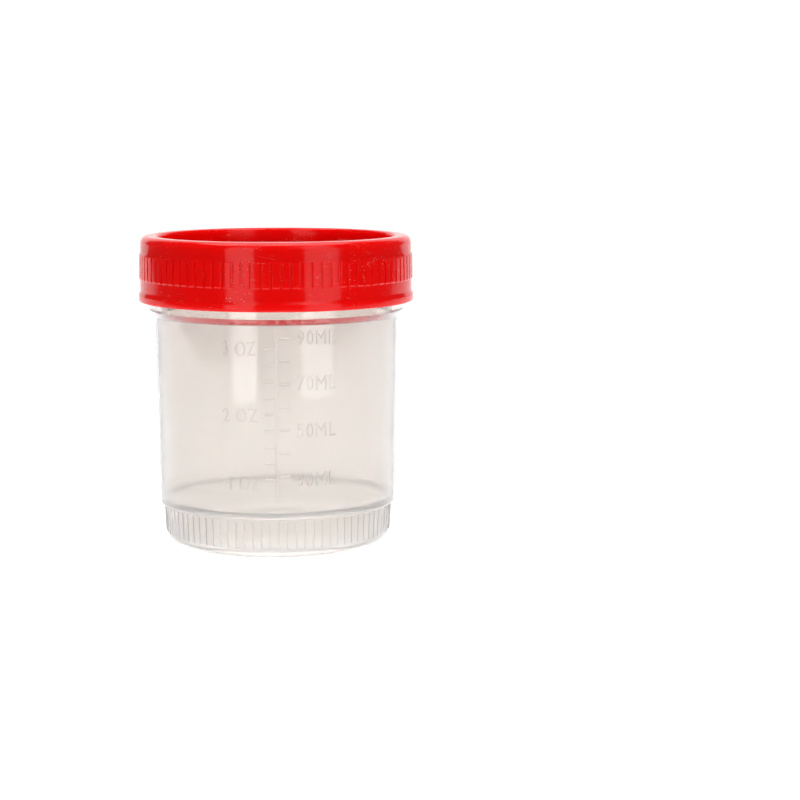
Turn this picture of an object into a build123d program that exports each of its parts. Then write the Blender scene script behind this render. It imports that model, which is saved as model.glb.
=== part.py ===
from build123d import *
import math
import os

# Screw-cap specimen container: a translucent cup with a moulded volume scale, and its cap.
# All sizes are in millimetres and degrees. The foot rests on Z = 0, the axis is Z and the
# volume scale faces -Y. A radius written as a function of height follows a mould draft.

# Cup: foot
foot_diameter = 50.6
foot_height = 8.65
foot_draft = 2.4
foot_corner = 1.65
foot_ring = 1.6
base_recess = 1.2
base_recess_draft = 30.0
floor_thickness = 1.3
floor_corner = 1.0
foot_rib_count = 84
foot_rib_width = 0.35
foot_rib_relief = 0.18
foot_rib_margin = 0.5

# Cup: body, shoulder and neck
wall = 1.3
body_diameter = 54.1
body_height = 41.75
body_draft = 0.8
step_round = 0.6
flange_diameter = 56.8
flange_height = 2.6
neck_height = 8.65
neck_wall = 1.3
neck_rim_round = 0.35

# Cup: screw thread
thread_depth = 1.1
thread_pitch = 4.2
thread_turns = 1.25
thread_root_width = 1.9
thread_crest_width = 0.8
thread_sink = 0.3

# Cup: moulded volume scale
mark_relief = 0.2
mark_width = 0.5
mark_length = 2.2
mark_gap = 0.55
scale_foot_gap = 4.0
scale_turn = -0.6
millilitres = range(30, 91, 10)
quarter_ounces = range(4, 13)
millilitres_per_ounce = 28.41

# Cap
cap_clearance = 0.35
cap_wall = 1.15
cap_draft = 0.8
cap_skirt = 9.5
cap_rim_height = 4.9
cap_rim_round = 1.6
cap_rim_thickness = 1.3
disc_thickness = 1.5
recess_diameter = 52.4
recess_wall = 1.2
recess_draft = 2.0
recess_round = 0.7
plug_clearance = 0.15
plug_wall = 1.0
plug_depth = 2.4
plug_lead = 0.4

# Cap: ribbed grip band and lip
grip_bottom = 4.8
grip_height = 6.05
grip_relief = 0.24
grip_top_slope = 0.5
groove_count = 90
groove_width = 0.55
groove_top_gap = 0.45
lip_height = 1.5
lip_relief = 0.33
lip_slope = 0.6
lip_round = 0.4

# Depth by which a raised feature's root reaches into the wall that carries it
root = 0.4

# Heights
step_z = foot_height
body_top_z = step_z + body_height
flange_z = body_top_z + (flange_diameter - body_diameter) / 2
flange_top_z = flange_z + flange_height
neck_top_z = flange_top_z + neck_height
floor_z = base_recess + floor_thickness
cap_bottom_z = neck_top_z - cap_skirt
cap_top_z = neck_top_z + cap_rim_height

# Radii
flange_radius = flange_diameter / 2
bore_radius = body_diameter / 2 - wall
neck_radius = bore_radius + neck_wall
thread_crest_radius = neck_radius + thread_depth
cap_bore_radius = max(thread_crest_radius, flange_radius) + cap_clearance
plug_radius = bore_radius - plug_clearance


def foot_radius(z):
    """Outer radius of the foot at height z."""
    return foot_diameter / 2 - (foot_height - z) * math.tan(math.radians(foot_draft))


def body_radius(z):
    """Outer radius of the body at height z."""
    return body_diameter / 2 - (body_top_z - z) * math.tan(math.radians(body_draft))


def cap_radius(z):
    """Outer radius of the cap's plain wall at height z."""
    return cap_bore_radius + cap_wall + (cap_top_z - z) * math.tan(math.radians(cap_draft))


def rounded(outline, corners):
    """The outline, a flat face in XZ, with each corner (x, z, radius) rounded."""
    for x, z, radius in corners:
        corner = outline.vertices().sort_by_distance((x, 0, z))[0]
        outline = fillet(corner, radius)
    return outline


def turned(points, corners=()):
    """A solid of revolution about Z from (radius, height) points and rounded corners."""
    outline = make_face(Polyline(*[(r, 0, z) for r, z in points], close=True))
    return revolve(rounded(outline, corners), Axis.Z)


def ring_of(piece, count):
    """Copies of a piece, evenly spaced about Z."""
    return [Rot(0, 0, 360 / count * i) * piece for i in range(count)]


def cavity_volume(z):
    """Millilitres held below height z by the foot and the body."""
    step_top = step_z + wall
    parts = [(floor_z, min(z, step_top), foot_radius), (step_top, z, body_radius)]
    total = 0.0
    for low, high, radius in parts:
        if high > low:
            r0 = radius(low) - wall
            r1 = radius(high) - wall
            total += math.pi * (high - low) * (r0 * r0 + r0 * r1 + r1 * r1) / 3
    return total / 1000


def fill_height(volume):
    """Height of the liquid's surface when the cup holds this many millilitres."""
    low, high = floor_z, neck_top_z
    for _ in range(40):
        middle = (low + high) / 2
        if cavity_volume(middle) < volume:
            low = middle
        else:
            high = middle
    return low


def cup_shell():
    """Foot, body, shoulder flange and neck, with one even wall."""
    recess_radius = foot_radius(0) - foot_corner - foot_ring
    recess_slope = base_recess * math.tan(math.radians(base_recess_draft))
    foot_inside = foot_radius(step_z) - wall
    step_inside_z = step_z + wall
    points = [
        (0, base_recess),
        (recess_radius - recess_slope, base_recess),
        (recess_radius, 0),
        (foot_radius(0), 0),
        (foot_radius(step_z), step_z),
        (body_radius(step_z), step_z),
        (body_radius(body_top_z), body_top_z),
        (flange_radius, flange_z),
        (flange_radius, flange_top_z),
        (neck_radius, flange_top_z),
        (neck_radius, neck_top_z),
        (bore_radius, neck_top_z),
        (bore_radius, body_top_z),
        (body_radius(step_inside_z) - wall, step_inside_z),
        (foot_inside, step_inside_z - (body_radius(step_z) - foot_radius(step_z)) / 2),
        (foot_radius(floor_z) - wall, floor_z),
        (0, floor_z),
    ]
    corners = [
        (foot_radius(0), 0, foot_corner),
        (body_radius(step_z), step_z, step_round),
        (foot_radius(floor_z) - wall, floor_z, floor_corner),
        (neck_radius, neck_top_z, neck_rim_round),
        (bore_radius, neck_top_z, neck_rim_round),
    ]
    return turned(points, corners)


def foot_ribs():
    """Thin upright ribs all round the foot, between its corner and the step."""
    low = foot_corner + foot_rib_margin
    high = step_z - foot_rib_margin
    middle = (low + high) / 2
    rib = Box(root + foot_rib_relief, foot_rib_width, high - low)
    rib = fillet(rib.edges().filter_by(Axis.Y).group_by(Axis.X)[-1], foot_rib_relief)
    rib = Rot(0, foot_draft, 0) * Pos((foot_rib_relief - root) / 2, 0, 0) * rib
    return ring_of(Pos(foot_radius(middle), 0, middle) * rib, foot_rib_count)


def thread():
    """The neck's screw thread, one ridge wound round it and sunk a little into its wall."""
    lead = thread_pitch * thread_turns
    start_z = flange_top_z + (neck_height - lead) / 2
    path = Helix(pitch=thread_pitch, height=lead, radius=neck_radius)
    section = make_face(
        Polyline(
            (-thread_sink, -thread_root_width / 2),
            (thread_depth, -thread_crest_width / 2),
            (thread_depth, thread_crest_width / 2),
            (-thread_sink, thread_root_width / 2),
            close=True,
        )
    )
    start = Plane(origin=path @ 0, x_dir=(1, 0, 0), z_dir=path % 0)
    return Pos(0, 0, start_z) * sweep(start * section, path=path, is_frenet=True)


def wall_bar(x0, x1, z0, z1):
    """A bar on the front of the body that stands proud of it by the marks' relief."""
    reach = body_diameter
    bar = Pos((x0 + x1) / 2, -reach / 2, (z0 + z1) / 2) * Box(x1 - x0, reach, z1 - z0)
    skin = turned(
        [
            (body_radius(z0) - root, z0),
            (body_radius(z0) + mark_relief, z0),
            (body_radius(z1) + mark_relief, z1),
            (body_radius(z1) - root, z1),
        ]
    )
    return bar & skin


def volume_scale():
    """An upright line, quarter-ounce marks joined to its left and millilitre marks to its right."""
    half = mark_width / 2
    bars = [wall_bar(-half, half, step_z + scale_foot_gap, body_top_z - mark_width)]
    near = half + mark_gap
    for volume in millilitres:
        z = fill_height(volume)
        bars.append(wall_bar(near, near + mark_length, z - half, z + half))
    for quarters in quarter_ounces:
        z = fill_height(quarters / 4 * millilitres_per_ounce)
        bars.append(wall_bar(-half - mark_length, 0, z - half, z + half))
    return [Rot(0, 0, scale_turn) * bar for bar in bars]


def cup():
    return cup_shell() + foot_ribs() + thread() + volume_scale()


def cap_shell():
    """Skirt, raised hollow rim, recessed disc and the plug that seals the neck's bore."""
    recess_radius = recess_diameter / 2
    disc_top_z = neck_top_z + disc_thickness
    recess_slope = (cap_top_z - disc_top_z) * math.tan(math.radians(recess_draft))
    channel_radius = recess_radius + recess_wall
    lip_radius = cap_radius(cap_bottom_z) + lip_relief
    lip_top_z = cap_bottom_z + lip_height
    wall_foot_z = lip_top_z + lip_slope
    points = [
        (0, neck_top_z),
        (plug_radius - plug_wall, neck_top_z),
        (plug_radius - plug_wall, neck_top_z - plug_depth),
        (plug_radius - plug_lead, neck_top_z - plug_depth),
        (plug_radius, neck_top_z - plug_depth + plug_lead),
        (plug_radius, neck_top_z),
        (channel_radius, neck_top_z),
        (channel_radius, cap_top_z - cap_rim_thickness),
        (cap_bore_radius, cap_top_z - cap_rim_thickness),
        (cap_bore_radius, cap_bottom_z),
        (lip_radius, cap_bottom_z),
        (lip_radius, lip_top_z),
        (cap_radius(wall_foot_z), wall_foot_z),
        (cap_radius(cap_top_z), cap_top_z),
        (recess_radius, cap_top_z),
        (recess_radius - recess_slope, disc_top_z),
        (0, disc_top_z),
    ]
    corners = [
        (cap_radius(cap_top_z), cap_top_z, cap_rim_round),
        (recess_radius, cap_top_z, recess_round),
        (lip_radius, cap_bottom_z, lip_round),
        (lip_radius, lip_top_z, lip_round),
    ]
    return turned(points, corners)


def grip_band():
    """A raised band cut into pads by upright grooves that are round at the top."""
    low = cap_bottom_z + grip_bottom
    high = low + grip_height
    pad_radius = cap_radius(low) + grip_relief
    band = turned(
        [
            (cap_radius(low) - root, low),
            (pad_radius, low),
            (pad_radius, high - grip_top_slope),
            (cap_radius(high), high),
            (cap_radius(high) - root, high),
        ]
    )
    reach = pad_radius - cap_bore_radius
    groove_foot = low - root
    groove_top = high - groove_top_gap - groove_width / 2
    slot = Box(2 * reach, groove_width, groove_top - groove_foot)
    slot = Pos(pad_radius, 0, (groove_foot + groove_top) / 2) * slot
    slot += Pos(pad_radius, 0, groove_top) * Rot(0, 90, 0) * Cylinder(groove_width / 2, 2 * reach)
    return band - ring_of(slot, groove_count)


def cap():
    return cap_shell() + grip_band()


def write(piece, name):
    """One STEP file for a node, as one clean solid."""
    solid = piece.solid()
    solid.label = name
    export_step(solid, f"parts/{name}.step")


os.makedirs("parts", exist_ok=True)
write(cup(), "cup")
write(cap(), "cap")
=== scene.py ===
from math import atan2, cos, hypot, pi, radians, sin, tan

import bpy
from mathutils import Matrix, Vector


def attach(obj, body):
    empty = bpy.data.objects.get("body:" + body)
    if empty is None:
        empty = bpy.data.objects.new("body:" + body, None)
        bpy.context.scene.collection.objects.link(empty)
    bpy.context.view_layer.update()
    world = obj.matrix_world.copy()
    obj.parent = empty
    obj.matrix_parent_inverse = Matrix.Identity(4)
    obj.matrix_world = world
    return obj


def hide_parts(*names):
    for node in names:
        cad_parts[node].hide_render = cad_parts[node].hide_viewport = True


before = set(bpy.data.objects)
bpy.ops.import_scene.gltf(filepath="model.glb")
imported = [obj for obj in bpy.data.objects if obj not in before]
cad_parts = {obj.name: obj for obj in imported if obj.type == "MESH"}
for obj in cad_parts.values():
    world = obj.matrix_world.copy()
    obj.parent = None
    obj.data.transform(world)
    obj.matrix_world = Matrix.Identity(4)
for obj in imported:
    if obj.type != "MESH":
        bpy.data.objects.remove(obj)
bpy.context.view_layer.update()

mm = 0.001  # the sizes below are in millimetres, Blender's in metres


cameraView = {
    "place": (0.0, -454.7, 94.87),  # in front of the object and a little above it
    "lens": 92.14,
    "sensor": 36,
    "nearest": 10,  # nothing nearer than this is drawn
    "lookDown": 0.140,  # radians
    "lookRight": 0.0604,
}


def addCamera(view):
    bpy.ops.object.camera_add(
        location=[v * mm for v in view["place"]],
        rotation=(pi / 2 - view["lookDown"], 0, -view["lookRight"]),
    )
    camera = bpy.context.object
    camera.name = "camera"
    camera.data.lens = view["lens"]
    camera.data.sensor_width = view["sensor"]
    camera.data.clip_start = view["nearest"] * mm
    bpy.context.scene.camera = camera


addCamera(cameraView)
print("camera placed")


def clearPick():  # nothing selected, out of edit mode
    if bpy.context.object and bpy.context.object.mode != "OBJECT":
        bpy.ops.object.mode_set(mode="OBJECT")
    bpy.ops.object.select_all(action="DESELECT")


def takeOnly(piece):
    clearPick()
    piece.select_set(True)
    bpy.context.view_layer.objects.active = piece


def pickFaces(piece, wanted):  # enters edit mode with only the wanted faces selected
    takeOnly(piece)
    bpy.ops.object.mode_set(mode="EDIT")
    bpy.ops.mesh.select_mode(type="FACE")
    bpy.ops.mesh.select_all(action="DESELECT")
    bpy.ops.object.mode_set(mode="OBJECT")
    for face in piece.data.polygons:
        face.select = wanted(face.center)
    bpy.ops.object.mode_set(mode="EDIT")


def pickPoints(piece, wanted):  # the same for single points
    takeOnly(piece)
    bpy.ops.object.mode_set(mode="EDIT")
    bpy.ops.mesh.select_mode(type="VERT")
    bpy.ops.mesh.select_all(action="DESELECT")
    bpy.ops.object.mode_set(mode="OBJECT")
    for point in piece.data.vertices:
        point.select = wanted(point.co)
    bpy.ops.object.mode_set(mode="EDIT")


def applyAll(piece):
    takeOnly(piece)
    for modifier in list(piece.modifiers):
        bpy.ops.object.modifier_apply(modifier=modifier.name)


def softCorners(outline, steps=5):  # (radius, height, rounding) corners to (radius, height) points
    points = []
    for i, (r, z, rounding) in enumerate(outline):
        if not rounding:
            points.append((r, z))
            continue
        before, after = outline[i - 1], outline[i + 1]
        inAngle = atan2(before[1] - z, before[0] - r)
        outAngle = atan2(after[1] - z, after[0] - r)
        turn = (outAngle - inAngle + pi) % (2 * pi) - pi
        half = abs(turn) / 2
        reach = rounding / tan(half)
        middle = inAngle + turn / 2
        centre = (
            r + cos(middle) * rounding / sin(half),
            z + sin(middle) * rounding / sin(half),
        )
        start = (r + cos(inAngle) * reach, z + sin(inAngle) * reach)
        end = (r + cos(outAngle) * reach, z + sin(outAngle) * reach)
        a0 = atan2(start[1] - centre[1], start[0] - centre[0])
        a1 = atan2(end[1] - centre[1], end[0] - centre[0])
        sweep = (a1 - a0 + pi) % (2 * pi) - pi
        for step in range(steps + 1):
            a = a0 + sweep * step / steps
            points.append((centre[0] + cos(a) * rounding, centre[1] + sin(a) * rounding))
    return points


def turnShape(name, outline, sides):  # a ring drawn out along the outline, closed at both poles
    points = softCorners(outline)
    clearPick()
    r, z = points[0]
    bpy.ops.mesh.primitive_circle_add(vertices=sides, radius=r * mm, location=(0, 0, z * mm))
    piece = bpy.context.object
    piece.name = name
    bpy.ops.object.transform_apply(location=True, rotation=True, scale=True)
    bpy.ops.object.mode_set(mode="EDIT")
    bpy.ops.mesh.select_mode(type="EDGE")
    bpy.ops.mesh.select_all(action="SELECT")
    for nextR, nextZ in points[1:]:
        rise = (0, 0, (nextZ - z) * mm)
        wider = nextR / r
        bpy.ops.mesh.extrude_region_move(TRANSFORM_OT_translate={"value": rise})
        bpy.ops.transform.resize(value=(wider, wider, 1), center_override=(0, 0, nextZ * mm))
        r, z = nextR, nextZ
    bpy.ops.mesh.edge_face_add()
    bpy.ops.mesh.select_all(action="DESELECT")
    bpy.ops.mesh.select_non_manifold()
    bpy.ops.mesh.edge_face_add()
    bpy.ops.mesh.select_all(action="SELECT")
    bpy.ops.mesh.normals_make_consistent(inside=False)
    bpy.ops.object.mode_set(mode="OBJECT")
    return piece


def runOut(ridge, size):  # the crest comes down into the wall at both ends of the thread
    low = size["low"] * mm
    top = low + size["pitch"] * size["turns"] * mm
    side = 1 if size["crest"] > size["root"] else -1
    step = (size["root"] / size["crest"]) ** (1 / size["endSteps"])
    endAngle = 2 * pi * (size["turns"] % 1)  # the first end is at 0
    thick = size["rootWidth"] * mm
    least = 0.01 * mm  # points nearer to the root than this are left alone
    for count in range(1, size["endSteps"] + 1):
        reach = radians(size["endTurn"]) * count / size["endSteps"]

        def onEnd(p):
            turned = abs(atan2(p.y, p.x))
            first = turned < reach and p.z < low + thick
            last = abs(turned - endAngle) < reach and p.z > top - thick
            return (first or last) and (hypot(p.x, p.y) - size["root"] * mm) * side > least

        pickPoints(ridge, onEnd)
        bpy.ops.transform.resize(value=(step, step, 1), center_override=(0, 0, 0))
        bpy.ops.object.mode_set(mode="OBJECT")


def windThread(name, size):  # one ridge wound up round the axis
    clearPick()
    bpy.ops.mesh.primitive_plane_add(size=mm, location=(0, 0, 0), rotation=(pi / 2, 0, 0))
    ridge = bpy.context.object
    ridge.name = name
    bpy.ops.object.transform_apply(location=True, rotation=True, scale=True)
    depth = (size["crest"] - size["root"]) * mm
    bpy.ops.object.mode_set(mode="EDIT")
    bpy.ops.transform.resize(value=(abs(depth) / mm, 1, size["rootWidth"]))
    bpy.ops.transform.translate(value=(size["root"] * mm + depth / 2, 0, size["low"] * mm))
    side = 1 if depth > 0 else -1
    middle = size["root"] * mm + depth / 2
    pickPoints(ridge, lambda p: (p.x - middle) * side > 0)
    narrow = size["crestWidth"] / size["rootWidth"]
    bpy.ops.transform.resize(value=(1, 1, narrow), center_override=(0, 0, size["low"] * mm))
    bpy.ops.object.mode_set(mode="OBJECT")
    wind = ridge.modifiers.new("wind", "SCREW")
    wind.angle = 2 * pi * size["turns"]
    wind.screw_offset = size["pitch"] * size["turns"] * mm
    wind.steps = wind.render_steps = size["steps"]
    wind.use_smooth_shade = False
    applyAll(ridge)
    bpy.ops.object.mode_set(mode="EDIT")
    bpy.ops.mesh.select_mode(type="EDGE")
    bpy.ops.mesh.select_all(action="DESELECT")
    bpy.ops.mesh.select_non_manifold()
    bpy.ops.mesh.fill_holes(sides=8)
    bpy.ops.mesh.select_all(action="SELECT")
    bpy.ops.mesh.remove_doubles(threshold=size["mergeWithin"] * mm)
    bpy.ops.mesh.normals_make_consistent(inside=False)
    bpy.ops.object.mode_set(mode="OBJECT")
    runOut(ridge, size)
    return ridge


def weld(piece, added):  # one closed skin from two overlapping ones
    takeOnly(piece)
    join = piece.modifiers.new("weld", "BOOLEAN")
    join.operation = "UNION"
    join.solver = "EXACT"
    join.object = added
    applyAll(piece)
    mesh = added.data
    bpy.data.objects.remove(added)
    bpy.data.meshes.remove(mesh)


def smoothShape(piece, angle=32):
    takeOnly(piece)
    bpy.ops.object.shade_smooth_by_angle(angle=radians(angle))
    level = piece.modifiers.new("level", "WEIGHTED_NORMAL")  # long walls keep their own normals
    level.keep_sharp = True
    applyAll(piece)


cupForm = {
    "sides": 504,  # six to each foot rib
    "outline": [  # radius, height and corner rounding, up the outside and down the inside
        (0.6, 1.0, 0),
        (0.9, 1.2, 0),
        (20.99, 1.2, 0.3),
        (21.69, 0.0, 0.25),
        (24.94, 0.0, 1.6),
        (25.028, 2.15, 0),
        (25.279, 8.15, 0),
        (25.30, 8.65, 0.12),
        (26.467, 8.65, 0.6),
        (27.05, 50.4, 0.25),
        (28.4, 51.75, 0.2),
        (28.4, 54.35, 0.25),
        (27.05, 54.35, 0.2),
        (27.05, 63.0, 0.35),
        (25.75, 63.0, 0.35),
        (25.75, 50.4, 0.4),
        (25.185, 10.2, 0.5),
        (23.99, 9.0, 0.4),
        (23.742, 2.5, 1.0),
        (0.6, 2.5, 0),
    ],
    "ribFoot": 2.15,
    "ribTop": 8.15,
    "ribEvery": 6,
    "ribInside": 24.9,  # no rib's face is nearer to the axis
    "ribRelief": 0.13,
    "ribSlope": 0.11,
}


def shapeCup(form):
    cup = turnShape("specimenCup", form["outline"], form["sides"])
    step = 2 * pi / form["sides"]

    def onRib(c):
        if not form["ribFoot"] * mm < c.z < form["ribTop"] * mm:
            return False
        if hypot(c.x, c.y) < form["ribInside"] * mm:
            return False
        return int(atan2(c.y, c.x) % (2 * pi) / step) % form["ribEvery"] == 0

    pickFaces(cup, onRib)
    slope, relief = form["ribSlope"] * mm, form["ribRelief"] * mm
    bpy.ops.mesh.inset(thickness=slope, depth=relief, use_even_offset=True)
    bpy.ops.object.mode_set(mode="OBJECT")
    return cup


cup = shapeCup(cupForm)
print("cup shell turned:", len(cup.data.polygons), "faces")


neckThread = {
    "root": 26.75,
    "crest": 28.15,
    "rootWidth": 2.1,
    "crestWidth": 0.8,
    "low": 56.05,
    "pitch": 4.2,
    "turns": 1.25,
    "steps": 180,
    "endTurn": 25,  # degrees over which each end fades
    "endSteps": 8,
    "mergeWithin": 0.001,
}
weld(cup, windThread("neckThread", neckThread))
print("neck thread wound")


scaleForm = {
    "radius": 26.9,  # the body's radius half way up, where the flat scale is wrapped round it
    "radiusHeight": 39.66,
    "draft": 0.8,  # degrees
    "relief": 0.2,
    "sunk": 0.3,
    "line": (-0.55, 12.65, -0.05, 49.9),  # left, foot, right, top
    "tickWidth": 0.5,
    "tickLower": 0.013,  # the ounce ticks start under the line's face, so the two weld cleanly
    "leftTicks": (-2.75, -0.3),
    "rightTicks": (0.5, 2.7),
    "millilitres": [18.26, 23.22, 28.15, 33.05, 37.93, 42.79, 47.61],  # heights of 30, 40 ... 90
    "quarters": [17.47, 21.0, 24.51, 28.01, 31.5, 34.97, 38.43, 41.88, 45.32],  # 1 oz and up
    "letterHeight": 3.05,
    "letterRelief": 0.19,
    "letterDepth": 3,  # times their relief, most of it inside the wall
    "barEdge": 0.17,
    "barSteps": 3,
    "letterEdge": 0.024,  # for letters one unit tall
    "letterSpace": 1.1,
    "mergeWithin": 0.0001,  # for letters one unit tall
    "words": [  # words, middle of the words along the wall, width, height of their middle
        ("90ML", 8.6, 8.3, 47.8),
        ("70ML", 8.65, 8.6, 38.1),
        ("50ML", 8.6, 8.7, 28.0),
        ("30ML", 8.6, 8.6, 17.4),
        ("3 OZ", -8.15, 7.2, 45.45),
        ("2 OZ", -8.15, 7.6, 31.2),
        ("1 OZ", -7.4, 6.5, 16.6),
    ],
}


def addBar(form, x0, z0, x1, z1, lower=0):  # stands in the wall, its rounded face towards -Y
    front = form["relief"] - lower
    back = form["sunk"] - lower
    clearPick()
    bpy.ops.mesh.primitive_cube_add(
        size=1,
        location=((x0 + x1) / 2 * mm, (back - front) / 2 * mm, (z0 + z1) / 2 * mm),
        scale=((x1 - x0) * mm, (front + back) * mm, (z1 - z0) * mm),
    )
    bar = bpy.context.object
    bpy.ops.object.transform_apply(location=True, rotation=True, scale=True)
    edge = bar.modifiers.new("edge", "BEVEL")
    edge.width = form["barEdge"] * mm
    edge.segments = form["barSteps"]
    applyAll(bar)
    return bar


def addWord(form, words, middle, width, height):  # raised letters of an exact size
    clearPick()
    bpy.ops.object.text_add(rotation=(pi / 2, 0, 0))
    word = bpy.context.object
    word.data.body = words
    word.data.align_x = "CENTER"
    word.data.resolution_u = 3
    word.data.space_character = form["letterSpace"]
    word.data.bevel_depth = form["letterEdge"]
    word.data.offset = -form["letterEdge"]
    word.data.bevel_resolution = 1
    word.data.extrude = form["letterEdge"] / 2
    bpy.ops.object.convert(target="MESH")
    bpy.ops.object.transform_apply(location=True, rotation=True, scale=True)
    low = [min(p.co[i] for p in word.data.vertices) for i in range(3)]
    high = [max(p.co[i] for p in word.data.vertices) for i in range(3)]
    bpy.ops.object.mode_set(mode="EDIT")
    bpy.ops.mesh.select_all(action="SELECT")
    bpy.ops.mesh.remove_doubles(threshold=form["mergeWithin"])
    bpy.ops.transform.translate(value=[-(a + b) / 2 for a, b in zip(low, high)])
    size = (width, form["letterDepth"] * form["letterRelief"], form["letterHeight"])
    bpy.ops.transform.resize(
        value=[s * mm / (b - a) for s, a, b in zip(size, low, high)],
        center_override=(0, 0, 0),
    )
    inward = form["letterRelief"] / 2
    bpy.ops.transform.translate(value=(middle * mm, inward * mm, height * mm))
    bpy.ops.mesh.select_all(action="SELECT")
    bpy.ops.mesh.normals_make_consistent(inside=False)
    bpy.ops.object.mode_set(mode="OBJECT")
    return word


def raiseScale(form):
    half = form["tickWidth"] / 2
    line = addBar(form, *form["line"])
    left, right = form["leftTicks"]
    for z in form["quarters"]:
        weld(line, addBar(form, left, z - half, right, z + half, form["tickLower"]))
    parts = [line]
    left, right = form["rightTicks"]
    for z in form["millilitres"]:
        parts.append(addBar(form, left, z - half, right, z + half))
    for entry in form["words"]:
        parts.append(addWord(form, *entry))
    clearPick()
    for part in parts:
        part.select_set(True)
    bpy.context.view_layer.objects.active = parts[0]
    bpy.ops.object.join()
    marks = bpy.context.object
    marks.name = "scaleMarks"
    lean = tan(radians(form["draft"]))
    for point in marks.data.vertices:  # the flat scale leans as the wall does
        point.co.y -= (point.co.z - form["radiusHeight"] * mm) * lean
    wrap = marks.modifiers.new("wrap", "SIMPLE_DEFORM")
    wrap.deform_method = "BEND"
    wrap.deform_axis = "Z"
    wrap.angle = marks.dimensions.x / (form["radius"] * mm)
    applyAll(marks)
    bpy.ops.object.mode_set(mode="EDIT")
    bpy.ops.mesh.select_all(action="SELECT")
    bpy.ops.transform.translate(value=(0, -form["radius"] * mm, 0))
    bpy.ops.object.mode_set(mode="OBJECT")
    return marks


weld(cup, raiseScale(scaleForm))
smoothShape(cup)
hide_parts("cup")
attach(cup, "cup")
print("volume scale raised:", len(cup.data.polygons), "faces")


capForm = {
    "sides": 720,  # eight to each groove and its pad
    "outline": [  # from the middle of the underside, out, over the rim and into the recess
        (0.8, 63.03, 0),
        (24.6, 63.03, 0.3),
        (24.6, 60.6, 0.2),
        (25.15, 60.6, 0.15),
        (25.6, 61.0, 0.2),
        (25.6, 63.03, 0.1),
        (27.4, 63.03, 0.2),
        (27.4, 66.6, 0.4),
        (28.75, 66.6, 0.4),
        (28.75, 53.5, 0.25),
        (30.43, 53.5, 0.4),
        (30.43, 55.0, 0.4),
        (30.07, 55.7, 0.9),
        (30.031, 58.3, 0),
        (29.955, 63.706, 0),
        (29.946, 64.35, 0),
        (29.9, 67.9, 1.6),
        (26.2, 67.9, 0.7),
        (26.08, 64.5, 0.4),
        (3.2, 64.5, 0),
        (2.9, 64.3, 0),
        (0.9, 64.3, 0),
        (0.7, 64.42, 0),
    ],
    "bandFoot": 58.3,
    "archFoot": 63.706,
    "archRise": 0.19,
    "bandTop": 64.35,
    "topSlope": 0.5,
    "footSlope": 0.35,
    "relief": 0.24,
    "grooveEvery": 8,
    "grooveSides": 2,
    "wall": 29.955,  # radius behind the pads
    "bandInside": 29.5,  # no pad or groove is nearer to the axis
    "near": 0.05,  # how far a point may be from the height it is picked by
    "nearArch": 0.03,
    "aroundBand": 0.1,  # the corners are softened this far past the band
    "padEdge": 0.07,
    "padCorner": 50,  # degrees past which a corner is softened
}


def shapeCap(form):
    cap = turnShape("screwCap", form["outline"], form["sides"])
    step = 2 * pi / form["sides"]
    around = form["grooveEvery"]

    foot, arch, top = form["bandFoot"] * mm, form["archFoot"] * mm, form["bandTop"] * mm
    inside = form["bandInside"] * mm

    def onPad(c):
        if not foot < c.z < top or hypot(c.x, c.y) < inside:
            return False
        if c.z > arch:
            return True
        place = int((atan2(c.y, c.x) + step) % (2 * pi) / step) % around
        return place >= form["grooveSides"]

    pickFaces(cap, onPad)
    relief = form["relief"] * mm
    bpy.ops.mesh.extrude_region_shrink_fatten(TRANSFORM_OT_shrink_fatten={"value": relief})
    edge = (form["wall"] + form["relief"] / 2) * mm
    near = form["near"] * mm
    pickPoints(cap, lambda p: abs(p.z - top) < near and hypot(p.x, p.y) > edge)
    bpy.ops.transform.translate(value=(0, 0, -form["topSlope"] * mm))
    pickPoints(cap, lambda p: abs(p.z - foot) < near and hypot(p.x, p.y) > edge)
    bpy.ops.transform.translate(value=(0, 0, form["footSlope"] * mm))
    bpy.ops.object.mode_set(mode="OBJECT")

    def onArch(p):  # the points at the head of each groove, half way across it
        if abs(p.z - arch) > form["nearArch"] * mm or hypot(p.x, p.y) < inside:
            return False
        return round(atan2(p.y, p.x) / step) % around == 0

    pickPoints(cap, onArch)
    bpy.ops.transform.translate(value=(0, 0, form["archRise"] * mm))
    low = (form["bandFoot"] - form["aroundBand"]) * mm
    high = (form["bandTop"] + form["aroundBand"]) * mm
    pickFaces(cap, lambda c: low < c.z < high and hypot(c.x, c.y) > inside)
    bpy.ops.mesh.hide(unselected=True)
    bpy.ops.mesh.select_mode(type="EDGE")
    bpy.ops.mesh.select_all(action="DESELECT")
    bpy.ops.mesh.edges_select_sharp(sharpness=radians(form["padCorner"]))
    bpy.ops.mesh.bevel(offset=form["padEdge"] * mm, segments=2, affect="EDGES")
    bpy.ops.mesh.reveal(select=False)
    bpy.ops.object.mode_set(mode="OBJECT")
    return cap


cap = shapeCap(capForm)
print("cap turned and grooved:", len(cap.data.polygons), "faces")

capThread = {
    "root": 28.95,
    "crest": 27.5,
    "rootWidth": 2.0,
    "crestWidth": 0.8,
    "low": 55.42,
    "pitch": 4.2,
    "turns": 1.25,
    "steps": 180,
    "endTurn": 25,  # degrees over which each end fades
    "endSteps": 8,
    "mergeWithin": 0.001,
}
weld(cap, windThread("capThread", capThread))
smoothShape(cap)
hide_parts("cap")
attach(cap, "cap")
print("cap thread wound:", len(cap.data.polygons), "faces")


def newMaterial(name):
    material = bpy.data.materials.new(name)
    material.use_nodes = True
    nodes = material.node_tree.nodes
    nodes.clear()
    return material, nodes, material.node_tree.links


def addNode(nodes, kind, **values):
    node = nodes.new(kind)
    for key, value in values.items():
        if hasattr(node, key):
            setattr(node, key, value)
        else:
            node.inputs[key].default_value = value
    return node


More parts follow.
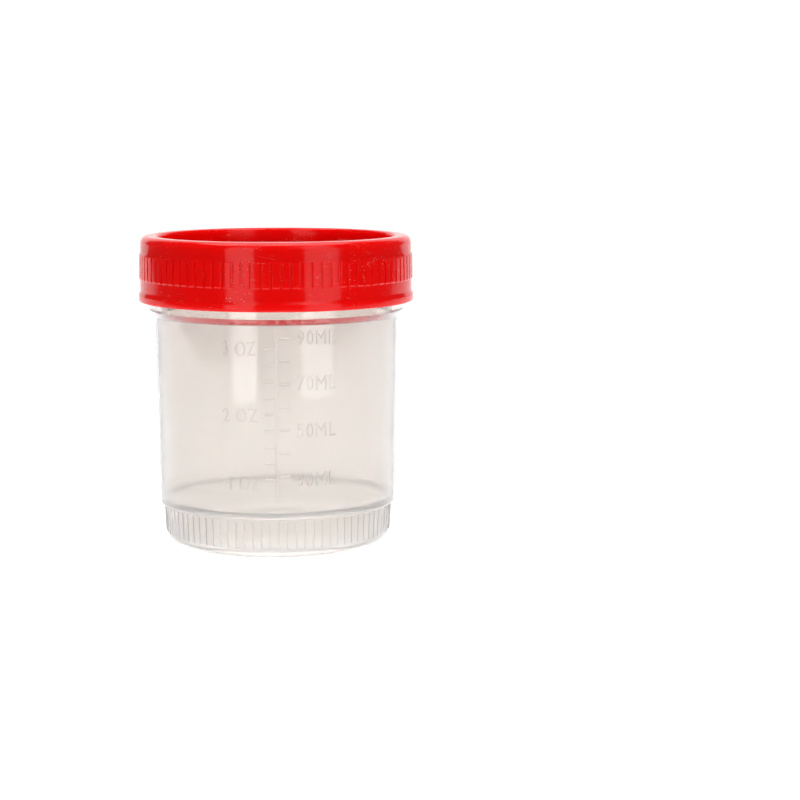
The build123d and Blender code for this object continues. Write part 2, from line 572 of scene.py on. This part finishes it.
def spreadOver(nodes, links, source, low, high, start=0.0, end=1.0):  # one range onto another
    spread = addNode(nodes, "ShaderNodeMapRange")
    spread.inputs["From Min"].default_value = start
    spread.inputs["From Max"].default_value = end
    spread.inputs["To Min"].default_value = low
    spread.inputs["To Max"].default_value = high
    links.new(source, spread.inputs["Value"])
    return spread.outputs["Result"]


def noiseOver(nodes, links, place, scale, detail=3.0):  # noise drawn out along each axis by scale
    stretch = addNode(nodes, "ShaderNodeMapping")
    stretch.inputs["Scale"].default_value = scale
    noise = addNode(nodes, "ShaderNodeTexNoise")
    noise.inputs["Scale"].default_value = 1.0
    noise.inputs["Detail"].default_value = detail
    links.new(place, stretch.inputs["Vector"])
    links.new(stretch.outputs["Vector"], noise.inputs["Vector"])
    return noise.outputs["Fac"]


def multiply(nodes, links, first, second):
    both = addNode(nodes, "ShaderNodeMath", operation="MULTIPLY")
    links.new(first, both.inputs[0])
    links.new(second, both.inputs[1])
    return both.outputs[0]


def mixColours(nodes, links, factor, first, second):  # each a fixed colour or a node's output
    mix = addNode(nodes, "ShaderNodeMix", data_type="RGBA")
    for socket, colour in ((mix.inputs[6], first), (mix.inputs[7], second)):
        if isinstance(colour, tuple):
            socket.default_value = colour
        else:
            links.new(colour, socket)
    links.new(factor, mix.inputs["Factor"])
    return mix.outputs[2]


def addBump(nodes, links, height, depth):
    bump = addNode(nodes, "ShaderNodeBump")
    bump.inputs["Distance"].default_value = depth
    links.new(height, bump.inputs["Height"])
    return bump.outputs["Normal"]


cupPlastic = {
    "colour": (0.985, 0.935, 0.885, 1),
    # painted reflection: the neck's pinker colour stands in for the red cap's light scattered in
    # the milky plastic
    "neckPaintedRedGlow": (0.985, 0.918, 0.868, 1),
    "clear": (0.76, 0.97),  # body, neck
    "footClear": 0.9,  # of the body's, where the wall is thick
    "foot": (0.009, 0.014),
    "neck": (0.0502, 0.0508),  # heights between which the wall turns clearer and the painted red glow from the cap comes in
    "inner": 0.2,  # reflection left under the gloss
    "milk": 1.0,
    "milkRadius": (1.0, 0.95, 0.9),  # red light spreads furthest
    "ior": 1.49,
    "haze": (0.06, 0.10),
    "neckHaze": 0.7,  # of the body's
    "milkDepth": 0.004,  # metres that light spreads inside the wall
    "gloss": 1.0,
    "glossRoughness": (0.02, 0.045),
    "flow": (140, 140, 30),  # the moulding's flow runs up the wall
    "flowDepth": 0.00001,
    "scuffs": (900, 900, 160),
    "scuffDetail": 5.0,
    "scuffRange": (0.35, 0.7),  # of the noise, over which the gloss turns duller
}


def makeCupPlastic(values):
    material, nodes, links = newMaterial("cupPlastic")
    out = addNode(nodes, "ShaderNodeOutputMaterial")
    shader = addNode(nodes, "ShaderNodeBsdfPrincipled")
    shader.inputs["IOR"].default_value = values["ior"]
    shader.inputs["Subsurface Weight"].default_value = values["milk"]
    shader.inputs["Subsurface Radius"].default_value = values["milkRadius"]
    shader.inputs["Subsurface Scale"].default_value = values["milkDepth"]
    shader.inputs["Specular Tint"].default_value = [values["inner"]] * 3 + [1]
    shader.inputs["Coat Weight"].default_value = values["gloss"]
    shader.inputs["Coat IOR"].default_value = values["ior"]
    place = addNode(nodes, "ShaderNodeTexCoord").outputs["Object"]
    flow = noiseOver(nodes, links, place, values["flow"])
    scuffs = noiseOver(nodes, links, place, values["scuffs"], values["scuffDetail"])
    apart = addNode(nodes, "ShaderNodeSeparateXYZ")
    links.new(place, apart.inputs["Vector"])
    height = apart.outputs["Z"]
    neck = spreadOver(nodes, links, height, 0.0, 1.0, *values["neck"])
    clear = spreadOver(nodes, links, neck, *values["clear"])
    thick = spreadOver(nodes, links, height, values["footClear"], 1.0, *values["foot"])
    links.new(multiply(nodes, links, clear, thick), shader.inputs["Transmission Weight"])
    # painted reflection: the neck is mixed towards a pinker colour that stands in for red light
    # from the cap
    colourWithPaintedRed = mixColours(nodes, links, neck, values["colour"], values["neckPaintedRedGlow"])
    links.new(colourWithPaintedRed, shader.inputs["Base Color"])
    haze = spreadOver(nodes, links, flow, *values["haze"])
    thinner = spreadOver(nodes, links, height, 1.0, values["neckHaze"], *values["neck"])
    links.new(multiply(nodes, links, haze, thinner), shader.inputs["Roughness"])
    coat = spreadOver(nodes, links, scuffs, *values["glossRoughness"], *values["scuffRange"])
    links.new(coat, shader.inputs["Coat Roughness"])
    normal = addBump(nodes, links, flow, values["flowDepth"])
    links.new(normal, shader.inputs["Coat Normal"])
    links.new(shader.outputs["BSDF"], out.inputs["Surface"])
    return material


capPlastic = {
    "colour": (0.80, 0.001, 0.001, 1),
    "worn": (0.82, 0.003, 0.002, 1),
    "dust": (0.88, 0.42, 0.36, 1),
    "roughness": (0.09, 0.14),
    "ior": 1.49,
    "specular": 0.25,
    "glow": 0.95,  # how much light goes through the thin wall
    "glowDepth": 0.0035,  # metres
    "glowRadius": (1.0, 0.1, 0.05),  # red light spreads furthest
    "cloud": ((160, 160, 160), 4.0),  # scale and detail, as for each noise below
    "specks": 1300,  # places for a speck, per metre
    "speckSize": (0.19, 0.11),
    "speckShow": 0.4,
    "speckPatches": ((110, 110, 110), 2.0),
    "speckRange": (0.5, 0.65),  # of the patches, over which specks appear
    "streaks": ((500, 500, 2600), 6.0),
    "streakShow": 0.25,
    "streakRange": (0.6, 0.75),
    "streakPatches": ((70, 70, 70), 2.0),
    "streakPatchRange": (0.5, 0.6),
    "grain": ((700, 700, 700), 3.0),
    "grainDepth": 0.000006,
}


def makeCapPlastic(values):
    material, nodes, links = newMaterial("capPlastic")
    out = addNode(nodes, "ShaderNodeOutputMaterial")
    shader = addNode(nodes, "ShaderNodeBsdfPrincipled")
    shader.inputs["IOR"].default_value = values["ior"]
    shader.inputs["Subsurface Weight"].default_value = values["glow"]
    shader.inputs["Specular IOR Level"].default_value = values["specular"]
    shader.inputs["Subsurface Radius"].default_value = values["glowRadius"]
    shader.inputs["Subsurface Scale"].default_value = values["glowDepth"]
    place = addNode(nodes, "ShaderNodeTexCoord").outputs["Object"]
    cloud = noiseOver(nodes, links, place, *values["cloud"])
    clean = mixColours(nodes, links, cloud, values["colour"], values["worn"])
    specks = addNode(nodes, "ShaderNodeTexVoronoi")
    specks.inputs["Scale"].default_value = values["specks"]
    links.new(place, specks.inputs["Vector"])
    speck = spreadOver(nodes, links, specks.outputs["Distance"], 0.0, 1.0, *values["speckSize"])
    patch = noiseOver(nodes, links, place, *values["speckPatches"])
    shown = spreadOver(nodes, links, patch, 0.0, values["speckShow"], *values["speckRange"])
    speck = multiply(nodes, links, speck, shown)
    streak = noiseOver(nodes, links, place, *values["streaks"])
    streak = spreadOver(nodes, links, streak, 0.0, values["streakShow"], *values["streakRange"])
    patch = noiseOver(nodes, links, place, *values["streakPatches"])
    shown = spreadOver(nodes, links, patch, 0.0, 1.0, *values["streakPatchRange"])
    streak = multiply(nodes, links, streak, shown)
    dust = addNode(nodes, "ShaderNodeMath", operation="MAXIMUM")
    links.new(speck, dust.inputs[0])
    links.new(streak, dust.inputs[1])
    dusty = mixColours(nodes, links, dust.outputs[0], clean, values["dust"])
    links.new(dusty, shader.inputs["Base Color"])
    links.new(spreadOver(nodes, links, cloud, *values["roughness"]), shader.inputs["Roughness"])
    grain = noiseOver(nodes, links, place, *values["grain"])
    links.new(addBump(nodes, links, grain, values["grainDepth"]), shader.inputs["Normal"])
    links.new(shader.outputs["BSDF"], out.inputs["Surface"])
    return material


def dress(piece, material):
    piece.data.materials.clear()
    piece.data.materials.append(material)


dress(cup, makeCupPlastic(cupPlastic))
dress(cap, makeCapPlastic(capPlastic))
print("materials made")


studio = {
    "floorFront": (-0.12, 0.16, -0.34),  # metres: left, right, y
    "floorBack": (-1.1, 1.3, 0.9),
    "edgeReach": 0.01,  # how near an edge its points are picked
    "coveRadius": 0.7,
    "coveSteps": 16,
    "wallHeight": 2.2,
    "floorColour": (0.3, 0.3, 0.3, 1),
    "floorRoughness": 0.9,
    "floorSpecular": 0.1,
    "floorGlow": 0.96,  # the paper is lit from below, as on a light table
    "glowFrom": -0.32,  # metres in front of the object where the glow begins
    "glowFull": -0.16,
    "paintedGlowUnderCup": 0.85,  # painted pool of light: the paper glows round the cup's foot, where its shadow would fall
    "underReach": (0.02, 0.034),
    "world": 0.1,
    "lights": {  # place, point it faces, width, height, brightness
        "top": ((0.0, 0.05, 0.78), (0.0, 0.03, 0.0), 0.8, 0.6, 3.9),
        "front": ((0.30, -0.54, 0.62), (0.0, 0.0, 0.06), 0.4, 0.34, 0.85),
        "left": ((-0.108, -0.198, 0.15), (0.0, 0.0, 0.15), 0.09, 0.30, 2.0),
        "right": ((0.140, -0.190, 0.15), (0.0, 0.0, 0.15), 0.12, 0.30, 1.7),
    },
}


def buildStage(values):
    clearPick()
    left, right, front = values["floorFront"]
    backLeft, backRight, back = values["floorBack"]
    middle = (backLeft + backRight) / 2
    bpy.ops.mesh.primitive_plane_add(size=1, location=(middle, (front + back) / 2, 0))
    floor = bpy.context.object
    floor.name = "stageFloor"
    floor.scale = (backRight - backLeft, back - front, 1)
    bpy.ops.object.transform_apply(location=True, rotation=True, scale=True)
    pickPoints(floor, lambda p: p.y < front + values["edgeReach"])
    narrower = (right - left) / (backRight - backLeft)
    bpy.ops.transform.resize(value=(narrower, 1, 1), center_override=(middle, front, 0))
    bpy.ops.transform.translate(value=((left + right) / 2 - middle, 0, 0))
    pickPoints(floor, lambda p: p.y > back - values["edgeReach"])
    bpy.ops.mesh.select_mode(type="EDGE")
    centre = (0, back, values["coveRadius"])
    bpy.ops.mesh.spin(steps=values["coveSteps"], angle=-pi / 2, center=centre, axis=(1, 0, 0))
    rise = (0, 0, values["wallHeight"])
    bpy.ops.mesh.extrude_region_move(TRANSFORM_OT_translate={"value": rise})
    bpy.ops.object.mode_set(mode="OBJECT")
    for face in floor.data.polygons:
        face.use_smooth = True
    material, nodes, links = newMaterial("stagePaper")
    out = addNode(nodes, "ShaderNodeOutputMaterial")
    shader = addNode(nodes, "ShaderNodeBsdfPrincipled")
    shader.inputs["Base Color"].default_value = values["floorColour"]
    shader.inputs["Roughness"].default_value = values["floorRoughness"]
    shader.inputs["Specular IOR Level"].default_value = values["floorSpecular"]
    shader.inputs["Emission Color"].default_value = (1, 1, 1, 1)
    place = addNode(nodes, "ShaderNodeTexCoord")
    apart = addNode(nodes, "ShaderNodeSeparateXYZ")
    glow = addNode(nodes, "ShaderNodeMapRange", interpolation_type="SMOOTHSTEP")
    glow.inputs["From Min"].default_value = values["glowFrom"]
    glow.inputs["From Max"].default_value = values["glowFull"]
    glow.inputs["To Max"].default_value = values["floorGlow"]
    links.new(place.outputs["Object"], apart.inputs["Vector"])
    links.new(apart.outputs["Y"], glow.inputs["Value"])
    reach = addNode(nodes, "ShaderNodeVectorMath", operation="LENGTH")
    links.new(place.outputs["Object"], reach.inputs[0])
    length = reach.outputs["Value"]
    # painted pool of light on the paper round the cup's foot, lifting the cup's shadow
    under = spreadOver(nodes, links, length, values["paintedGlowUnderCup"], 0.0, *values["underReach"])
    both = addNode(nodes, "ShaderNodeMath", operation="ADD")
    links.new(glow.outputs["Result"], both.inputs[0])
    links.new(under, both.inputs[1])
    links.new(both.outputs[0], shader.inputs["Emission Strength"])
    links.new(shader.outputs["BSDF"], out.inputs["Surface"])
    dress(floor, material)


def addLights(values):
    world = bpy.data.worlds.new("studio")
    world.use_nodes = True
    sky = world.node_tree.nodes["Background"]
    sky.inputs["Color"].default_value = (1, 1, 1, 1)
    sky.inputs["Strength"].default_value = values["world"]
    bpy.context.scene.world = world
    for name, (place, aim, width, height, brightness) in values["lights"].items():
        bpy.ops.object.light_add(type="AREA", location=place)
        light = bpy.context.object
        light.name = "light" + name.capitalize()
        light.data.shape = "RECTANGLE"
        light.data.size = width
        light.data.size_y = height
        light.data.energy = brightness * pi * width * height
        light.visible_camera = False
        light.rotation_euler = (Vector(aim) - Vector(place)).to_track_quat("-Z", "Y").to_euler()


buildStage(studio)
addLights(studio)
bpy.context.scene.view_settings.view_transform = "Standard"
print("stage and lights placed")
